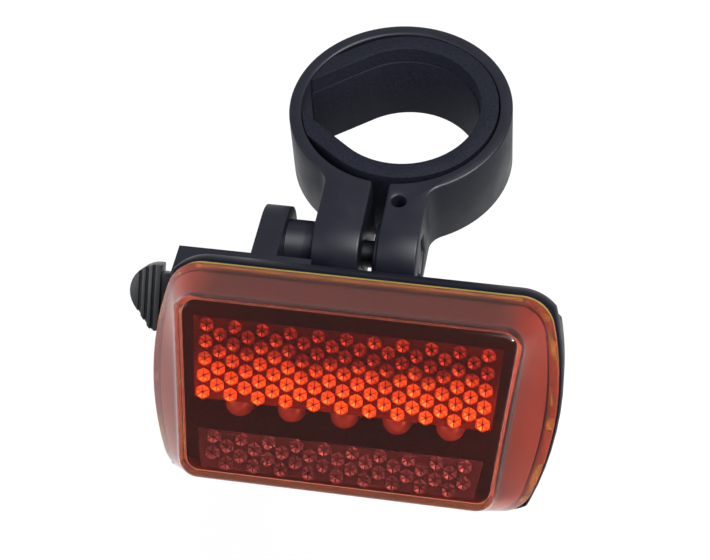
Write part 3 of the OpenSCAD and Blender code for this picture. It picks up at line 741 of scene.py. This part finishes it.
class RearLightInside(bpy.types.Operator):
    """Gives the LEDs, their frame, the board, the cells and the contacts their finishes"""

    bl_idname = "rear_light.inside"
    bl_label = "Inside"

    def execute(self, context):
        colours = context.scene.rear_light_colours
        # Epoxy, cast in a tinted mix: glossy domes with a slight cloud in them
        epoxy = lamp_epoxy("Cast LED epoxy", colours.lamp)
        # Styrene, moulded matt: an almost even black behind the prisms
        styrene = moulded(
            "Matt black styrene", colours.led_frame, rough=0.6, grain_mm=0.3, grain_depth_mm=0.001
        )
        # Glass-fibre laminate under a printed solder mask: semi-gloss green, blotched by the weave
        laminate = moulded(
            "Green solder mask",
            colours.board,
            rough=0.35,
            grain_mm=0.6,
            grain_depth_mm=0.01,
            mottle=0.3,
        )
        # Epoxy, moulded round a chip: dull black with a fine grain
        compound = moulded(
            "Black chip epoxy", colours.chip, rough=0.5, grain_mm=0.15, grain_depth_mm=0.01
        )
        # Metallised film, shrunk on a cell: a dark metal with soft streaks
        film = plated("Dark metallic sleeve", colours.sleeve, rough=0.35, streak_mm=1.2)
        # Spring steel, nickel plated: the brightest metal inside
        nickel = plated("Nickel-plated spring steel", colours.contact, rough=0.25, streak_mm=0.6)
        # Phenolic plastic, moulded: dull tan
        phenolic = moulded(
            "Tan plunger plastic", colours.plunger, rough=0.45, grain_mm=0.3, grain_depth_mm=0.01
        )
        # Steel, zinc plated: a pale grey metal, duller than nickel
        zinc = plated("Zinc-plated steel", colours.screw, rough=0.32, streak_mm=0.5)
        finishes = {
            epoxy: ("led_1", "led_2", "led_3", "led_4", "led_5"),
            styrene: ("led_frame",),
            laminate: ("circuit_board",),
            compound: ("controller_chip", "resistors", "mode_switch"),
            film: ("cell_upper", "cell_lower"),
            nickel: (
                "link_contact",
                "positive_contact",
                "negative_contact",
                "spring_upper",
                "spring_lower",
            ),
            phenolic: ("switch_plunger",),
            zinc: ("board_screws",),
        }
        for material, nodes in finishes.items():
            for node in nodes:
                CAD[node].data.materials.clear()
                CAD[node].data.materials.append(material)
        return {"FINISHED"}


class RearLightReflectors(bpy.types.Operator):
    """Builds the two reflector panels from six-sided prisms with Geometry Nodes"""

    bl_idname = "rear_light.reflectors"
    bl_label = "Reflectors"

    def tree(self):
        """Six tilted petals round each place, every petal a flat-topped three-sided wedge."""
        tree = bpy.data.node_groups.new("Prism field", "GeometryNodeTree")
        for name, kind in (
            ("Places", "NodeSocketGeometry"),
            ("Petal radius", "NodeSocketFloat"),
            ("Petal top", "NodeSocketFloat"),
            ("Petal reach", "NodeSocketFloat"),
            ("Petal depth", "NodeSocketFloat"),
            ("Petal tilt", "NodeSocketFloat"),
            ("Finish", "NodeSocketMaterial"),
        ):
            tree.interface.new_socket(name, in_out="INPUT", socket_type=kind)
        tree.interface.new_socket("Prisms", in_out="OUTPUT", socket_type="NodeSocketGeometry")
        given = add(tree, "NodeGroupInput").outputs
        petal = add(
            tree,
            "GeometryNodeMeshCone",
            values={"Vertices": 3},
            links={
                "Radius Top": given["Petal top"],
                "Radius Bottom": given["Petal radius"],
                "Depth": given["Petal depth"],
            },
        )
        ring = add(
            tree,
            "GeometryNodeMeshCircle",
            values={"Vertices": 6},
            links={"Radius": given["Petal reach"]},
        )
        index = add(tree, "GeometryNodeInputIndex")
        # Each petal is turned a sixth further, with a flat side to the prism's edge
        sixth = add(
            tree,
            "ShaderNodeMath",
            {"operation": "MULTIPLY_ADD"},
            values={1: math.pi / 3, 2: math.pi},
            links={0: index.outputs["Index"]},
        )
        turn = add(
            tree,
            "ShaderNodeCombineXYZ",
            links={"Y": given["Petal tilt"], "Z": sixth.outputs["Value"]},
        )
        petals = add(
            tree,
            "GeometryNodeInstanceOnPoints",
            links={
                "Points": ring.outputs["Mesh"],
                "Instance": petal.outputs["Mesh"],
                "Rotation": turn.outputs["Vector"],
            },
        )
        prism = add(
            tree,
            "GeometryNodeRealizeInstances",
            links={"Geometry": petals.outputs["Instances"]},
        )
        # From lying in X and Y to facing the lens
        facing = add(
            tree,
            "GeometryNodeTransform",
            values={"Rotation": (math.pi / 2, 0.0, 0.0)},
            links={"Geometry": prism.outputs["Geometry"]},
        )
        placed = add(
            tree,
            "GeometryNodeInstanceOnPoints",
            links={"Points": given["Places"], "Instance": facing.outputs["Geometry"]},
        )
        real = add(
            tree,
            "GeometryNodeRealizeInstances",
            links={"Geometry": placed.outputs["Instances"]},
        )
        painted = add(
            tree,
            "GeometryNodeSetMaterial",
            links={"Geometry": real.outputs["Geometry"], "Material": given["Finish"]},
        )
        add(tree, "NodeGroupOutput", links={"Prisms": painted.outputs["Geometry"]})
        return tree

    def places(self, edges, radius, y, sizes):
        """Middles of a panel's prisms, in columns that are staggered by half a row."""
        top, low, half, taper = edges
        row, column = sizes.prism_row, sizes.prism_column
        columns = int(half / column) + 1
        rows = int((top - low) / row) + 2
        found = []
        for c in range(-columns, columns + 1):
            for k in range(rows):
                z = low + LOW_ROOM * radius + k * row + (abs(c) % 2) * row / 2
                limit = half - taper * (top - z) / (top - low) - SIDE_ROOM * radius
                if abs(c * column) < limit and z < top - TOP_ROOM * radius:
                    found.append((c * column, y, z))
        return found

    def prisms(self, tree, name, places, radius, facets, sizes):
        """The prisms of one panel as a mesh in the row frame."""
        dots = bpy.data.meshes.new(name + "_places")
        dots.from_pydata(places, [], [])
        carrier = bpy.data.objects.new(name + "_draft", dots)
        bpy.context.scene.collection.objects.link(carrier)
        field = carrier.modifiers.new("Prisms", "NODES")
        field.node_group = tree
        items = tree.interface.items_tree
        sockets = {item.name: item.identifier for item in items if item.in_out == "INPUT"}
        reach = radius / math.sqrt(3)
        field[sockets["Petal radius"]] = reach * PETAL_FOOT
        field[sockets["Petal top"]] = reach * PETAL_TOP
        field[sockets["Petal reach"]] = reach
        field[sockets["Petal depth"]] = sizes.prism_depth
        field[sockets["Petal tilt"]] = sizes.prism_tilt
        field[sockets["Finish"]] = facets
        mesh = evaluated(carrier)
        mesh.transform(LIGHT)
        return mesh

    def panel(self, tree, name, node, edges, radius, finishes, sizes):
        """One reflector: a tapered plate with prisms to its edges, on the inside of the lens."""
        top, low, half, taper = edges
        facets, web = finishes
        back = -(sizes.lens_depth - sizes.lens_wall) + PRISM_STAND
        places = self.places(edges, radius, back - sizes.prism_depth / 2, sizes)
        mesh = self.prisms(tree, name, places, radius, facets, sizes)
        plate = [(-half, top), (half, top), (half - taper, low), (taper - half, low)]
        backing = lofted([at_depth(plate, back + PLATE_DEPTH), at_depth(plate, back)])
        work = bmesh.new()
        work.from_mesh(mesh)
        petals = len(work.faces)
        work.from_mesh(backing)
        bmesh.ops.recalc_face_normals(work, faces=work.faces)
        work.to_mesh(mesh)
        work.free()
        share = [0] * petals + [1] * (len(mesh.polygons) - petals)
        fit_piece(mesh, name, "lens", (facets, web), (node,), share, crease=5)

    def execute(self, context):
        sizes = context.scene.rear_light_sizes
        colours = context.scene.rear_light_colours
        tree = self.tree()
        upper_z = [(LIGHT @ Vector((0.0, PRISM_Y, z))).z for z in UPPER_GLOW_HEIGHTS]
        lower_z = [(LIGHT @ Vector((0.0, PRISM_Y, z))).z for z in LOWER_SHADE_HEIGHTS]
        # Acrylic, moulded in prisms: a painted glow on the facets at the bottom rows, fading to dull
        # red at the top rows
        facets = prism_plastic_painted_light("Red prism plastic", colours.prism, colours.prism_far, *upper_z)
        # The same acrylic out of the light, in painted shade: grey facets that only the lens makes
        # red
        shaded_facets = prism_plastic_painted_light(
            "Red prism plastic, shaded", colours.shaded, colours.shaded_far, *lower_z
        )
        # The same plastic between the prisms, in painted shade where the dark inside shows through,
        # with a painted glow near the bottom rows
        web = prism_plastic_painted_light("Red prism web", colours.web_lit, colours.web, *upper_z)
        # And between the lower prisms: an even dark plate of painted shade
        shaded_web = moulded(
            "Red prism web, shaded", colours.web_dark, rough=0.3, grain_mm=0.5, grain_depth_mm=0.01
        )
        self.panel(
            tree,
            "prisms_upper",
            "upper_reflector",
            UPPER_EDGES,
            sizes.prism_radius,
            (facets, web),
            sizes,
        )
        self.panel(
            tree,
            "prisms_lower",
            "lower_reflector",
            LOWER_EDGES,
            sizes.prism_low_radius,
            (shaded_facets, shaded_web),
            sizes,
        )
        return {"FINISHED"}


class RearLightLens(bpy.types.Operator):
    """Builds the red lens as one smooth shell with its lip"""

    bl_idname = "rear_light.lens"
    bl_label = "Lens"

    def skin(self, sizes, wall, drawn_in, round_mm):
        """Loops of one skin from the rim to the front, inside a front wall and a side wall."""
        front = -sizes.lens_depth + wall
        rim = rim_loop(sizes, drawn_in)
        shoulder = front_loop(sizes, drawn_in)
        first, last = -sizes.seal_depth, front + round_mm
        loops = []
        for k in range(SIDE_LOOPS):
            share = k / SIDE_LOOPS
            y = first + (last - first) * share
            loops.append(
                [
                    (a + (c - a) * share, y, b + (d - b) * share)
                    for (a, b), (c, d) in zip(rim, shoulder)
                ]
            )
        for k in range(ROUND_STEPS + 1):
            turn = math.pi / 2 * k / ROUND_STEPS
            inset = round_mm * (1 - math.cos(turn))
            y = front + round_mm * (1 - math.sin(turn))
            loops.append(at_depth(front_loop(sizes, drawn_in + inset), y))
        flat = front_loop(sizes, drawn_in + round_mm)
        for share in FRONT_SHARES:
            loops.append([(x * share, front, z * share) for x, z in flat])
        return loops

    def lip(self, sizes):
        """Loops of the lip that goes into the case, from its outside to its inside."""
        near = sizes.lens_wall + LIP_GAP
        far = near + LIP_WALL
        section = (
            (-sizes.seal_depth, near),
            (LIP_DEPTH - LIP_BEVEL, near),
            (LIP_DEPTH, near + LIP_BEVEL),
            (LIP_DEPTH, far - LIP_BEVEL),
            (LIP_DEPTH - LIP_BEVEL, far),
            (-sizes.seal_depth - LIP_ROOT, far),
        )
        return [at_depth(rim_loop(sizes, drawn_in), y) for y, drawn_in in section]

    def execute(self, context):
        sizes = context.scene.rear_light_sizes
        colours = context.scene.rear_light_colours
        # Red acrylic, polished by the mould: clear, with a faint ripple in its gloss
        polished = red_acrylic(
            "Clear red acrylic", colours.lens, rough=0.05, clear=1.0, ripple_mm=5.0
        )
        # The same acrylic, frosted inside the side walls by the mould: cloudy, with a painted glow
        # that makes it paler at the ends
        frosted = red_acrylic(
            "Frosted red acrylic",
            colours.frost,
            rough=0.3,
            clear=0.72,
            ripple_mm=1.0,
            ends=colours.frost_lit_end,
        )
        outer = self.skin(sizes, 0.0, 0.0, sizes.front_round)
        inner = self.skin(sizes, sizes.lens_wall, sizes.side_wall, INNER_ROUND)
        lip = self.lip(sizes)
        loops = list(reversed(outer)) + lip + inner[HIDDEN_LOOPS:]
        mesh = lofted(loops)
        around = len(loops[0])
        first = len(outer) - 1
        last = first + len(lip) + SIDE_LOOPS - HIDDEN_LOOPS
        share = [int(first * around <= k < last * around) for k in range(len(mesh.polygons))]
        finishes = (polished, frosted)
        fit_piece(mesh, "lens_shell", "lens", finishes, ("lens",), share, crease=60)
        return {"FINISHED"}


class RearLightStage(bpy.types.Operator):
    """Sets a pale floor, soft lamps and the camera"""

    bl_idname = "rear_light.stage"
    bl_label = "Stage"

    def lamp(self, name, place, size, power):
        """A softbox of a size in metres and a power in watts, turned to the object."""
        data = bpy.data.lights.new(name, "AREA")
        data.shape = "RECTANGLE"
        data.size, data.size_y = size
        data.energy = power
        lamp = bpy.data.objects.new(name, data)
        lamp.location = place
        lamp.rotation_euler = (LAMP_AIM - Vector(place)).to_track_quat("-Z", "Y").to_euler()
        bpy.context.scene.collection.objects.link(lamp)
        return lamp

    def seen(self, tree):
        """One where a ray is the camera's own, or comes by a reflection or through a clear wall."""
        path = add(tree, "ShaderNodeLightPath").outputs
        first = add(
            tree,
            "ShaderNodeMath",
            {"operation": "MAXIMUM"},
            links={0: path["Is Camera Ray"], 1: path["Is Glossy Ray"]},
        )
        both = add(
            tree,
            "ShaderNodeMath",
            {"operation": "MAXIMUM"},
            links={0: first.outputs["Value"], 1: path["Is Transmission Ray"]},
        )
        return both.outputs["Value"]

    def floor(self):
        """A wide floor that the camera sees almost white, with the object's shadow on it."""
        half, z = FLOOR_HALF, FLOOR_Z
        corners = [(-half, -half, z), (half, -half, z), (half, half, z), (-half, half, z)]
        mesh = bpy.data.meshes.new("floor")
        mesh.from_pydata(corners, [], [(0, 1, 2, 3)])
        plane = bpy.data.objects.new("floor", mesh)
        bpy.context.scene.collection.objects.link(plane)
        # Matt white paper, rolled out: even and without gloss
        material = bpy.data.materials.new("White paper sweep")
        material.use_nodes = True
        tree = material.node_tree
        tree.nodes.clear()
        share = add(
            tree,
            "ShaderNodeMath",
            {"operation": "MULTIPLY"},
            values={1: FLOOR_WHITE},
            links={0: self.seen(tree)},
        )
        paper = add(tree, "ShaderNodeBsdfDiffuse", values={"Color": linear("#f3f3f3")})
        glow = add(tree, "ShaderNodeEmission", values={"Strength": 1.0})
        mix = add(
            tree,
            "ShaderNodeMixShader",
            links={
                0: share.outputs["Value"],
                1: paper.outputs["BSDF"],
                2: glow.outputs["Emission"],
            },
        )
        add(tree, "ShaderNodeOutputMaterial", links={"Surface": mix.outputs["Shader"]})
        mesh.materials.append(material)

    def sky(self):
        """A white surrounding that lights the object less than it shows."""
        world = bpy.data.worlds.new("White studio")
        bpy.context.scene.world = world
        world.use_nodes = True
        tree = world.node_tree
        tree.nodes.clear()
        white = linear("#ffffff")
        soft = add(tree, "ShaderNodeBackground", values={"Color": white, "Strength": SKY_LIGHT})
        full = add(tree, "ShaderNodeBackground", values={"Color": white, "Strength": 1.0})
        mix = add(
            tree,
            "ShaderNodeMixShader",
            links={
                0: self.seen(tree),
                1: soft.outputs["Background"],
                2: full.outputs["Background"],
            },
        )
        add(tree, "ShaderNodeOutputWorld", links={"Surface": mix.outputs["Shader"]})

    def camera(self):
        """The camera at the photograph's viewing angle."""
        level = math.cos(VIEW_HEIGHT)
        back = Vector(
            (math.sin(VIEW_TURN) * level, -math.cos(VIEW_TURN) * level, math.sin(VIEW_HEIGHT))
        )
        right = Vector((0, 0, 1)).cross(back).normalized()
        up = back.cross(right)
        across = math.cos(VIEW_ROLL) * right + math.sin(VIEW_ROLL) * up
        above = -math.sin(VIEW_ROLL) * right + math.cos(VIEW_ROLL) * up
        place = VIEW_AIM + VIEW_DISTANCE * back
        turned = Matrix((across, above, back)).transposed().to_4x4()
        lie = Matrix.Rotation(-REST_TILT, 4, "X")
        data = bpy.data.cameras.new("camera")
        data.sensor_fit = "HORIZONTAL"
        data.sensor_width = SENSOR
        data.lens = SENSOR * FOCAL_PX / PICTURE_PX
        data.clip_start = 0.01
        data.clip_end = 20.0
        camera = bpy.data.objects.new("camera", data)
        camera.matrix_world = Matrix.Translation(LIGHT @ place) @ lie @ turned
        bpy.context.scene.collection.objects.link(camera)
        bpy.context.scene.camera = camera

    def execute(self, context):
        context.scene.view_settings.view_transform = "Standard"
        self.floor()
        self.sky()
        self.lamp("key softbox", place=(0.25, -0.15, 0.75), size=(0.5, 0.5), power=9.0)
        self.lamp("left softbox", place=(-0.6, -0.45, 0.45), size=(0.5, 0.6), power=5.0)
        self.lamp("right softbox", place=(0.75, -0.55, 0.3), size=(0.5, 0.4), power=4.0)
        # A small lamp for the gloss on the lens's upper right corner alone
        catch = self.lamp("catch light", place=(0.46, -0.12, 0.59), size=(0.16, 0.08), power=16.0)
        catch.visible_diffuse = False
        self.camera()
        return {"FINISHED"}


class RearLightPanel(bpy.types.Panel):
    """Lists the light's pieces in the order in which they are made, with their sizes and colours"""

    bl_idname = "VIEW3D_PT_rear_light"
    bl_label = "Rear light"
    bl_space_type = "VIEW_3D"
    bl_region_type = "UI"
    bl_category = "Rear light"

    def draw(self, context):
        for operator in OPERATORS:
            self.layout.operator(operator.bl_idname)
        for group in (context.scene.rear_light_sizes, context.scene.rear_light_colours):
            for name in group.__annotations__:
                self.layout.prop(group, name)


OPERATORS = (
    RearLightClamp,
    RearLightBracket,
    RearLightCase,
    RearLightInside,
    RearLightReflectors,
    RearLightLens,
    RearLightStage,
)
CLASSES = (RearLightSizes, RearLightColours) + OPERATORS + (RearLightPanel,)


def register():
    """Registers the classes and gives the scene its sizes and colours."""
    for made in CLASSES:
        bpy.utils.register_class(made)
    bpy.types.Scene.rear_light_sizes = bpy.props.PointerProperty(type=RearLightSizes)
    bpy.types.Scene.rear_light_colours = bpy.props.PointerProperty(type=RearLightColours)


def unregister():
    """Takes back what register gave."""
    del bpy.types.Scene.rear_light_colours
    del bpy.types.Scene.rear_light_sizes
    for made in reversed(CLASSES):
        bpy.utils.unregister_class(made)


def main():
    """Makes every piece and the stage."""
    register()
    bpy.ops.rear_light.clamp()
    bpy.ops.rear_light.bracket()
    bpy.ops.rear_light.case()
    bpy.ops.rear_light.inside()
    bpy.ops.rear_light.reflectors()
    bpy.ops.rear_light.lens()
    bpy.ops.rear_light.stage()


if __name__ == "__main__":
    main()
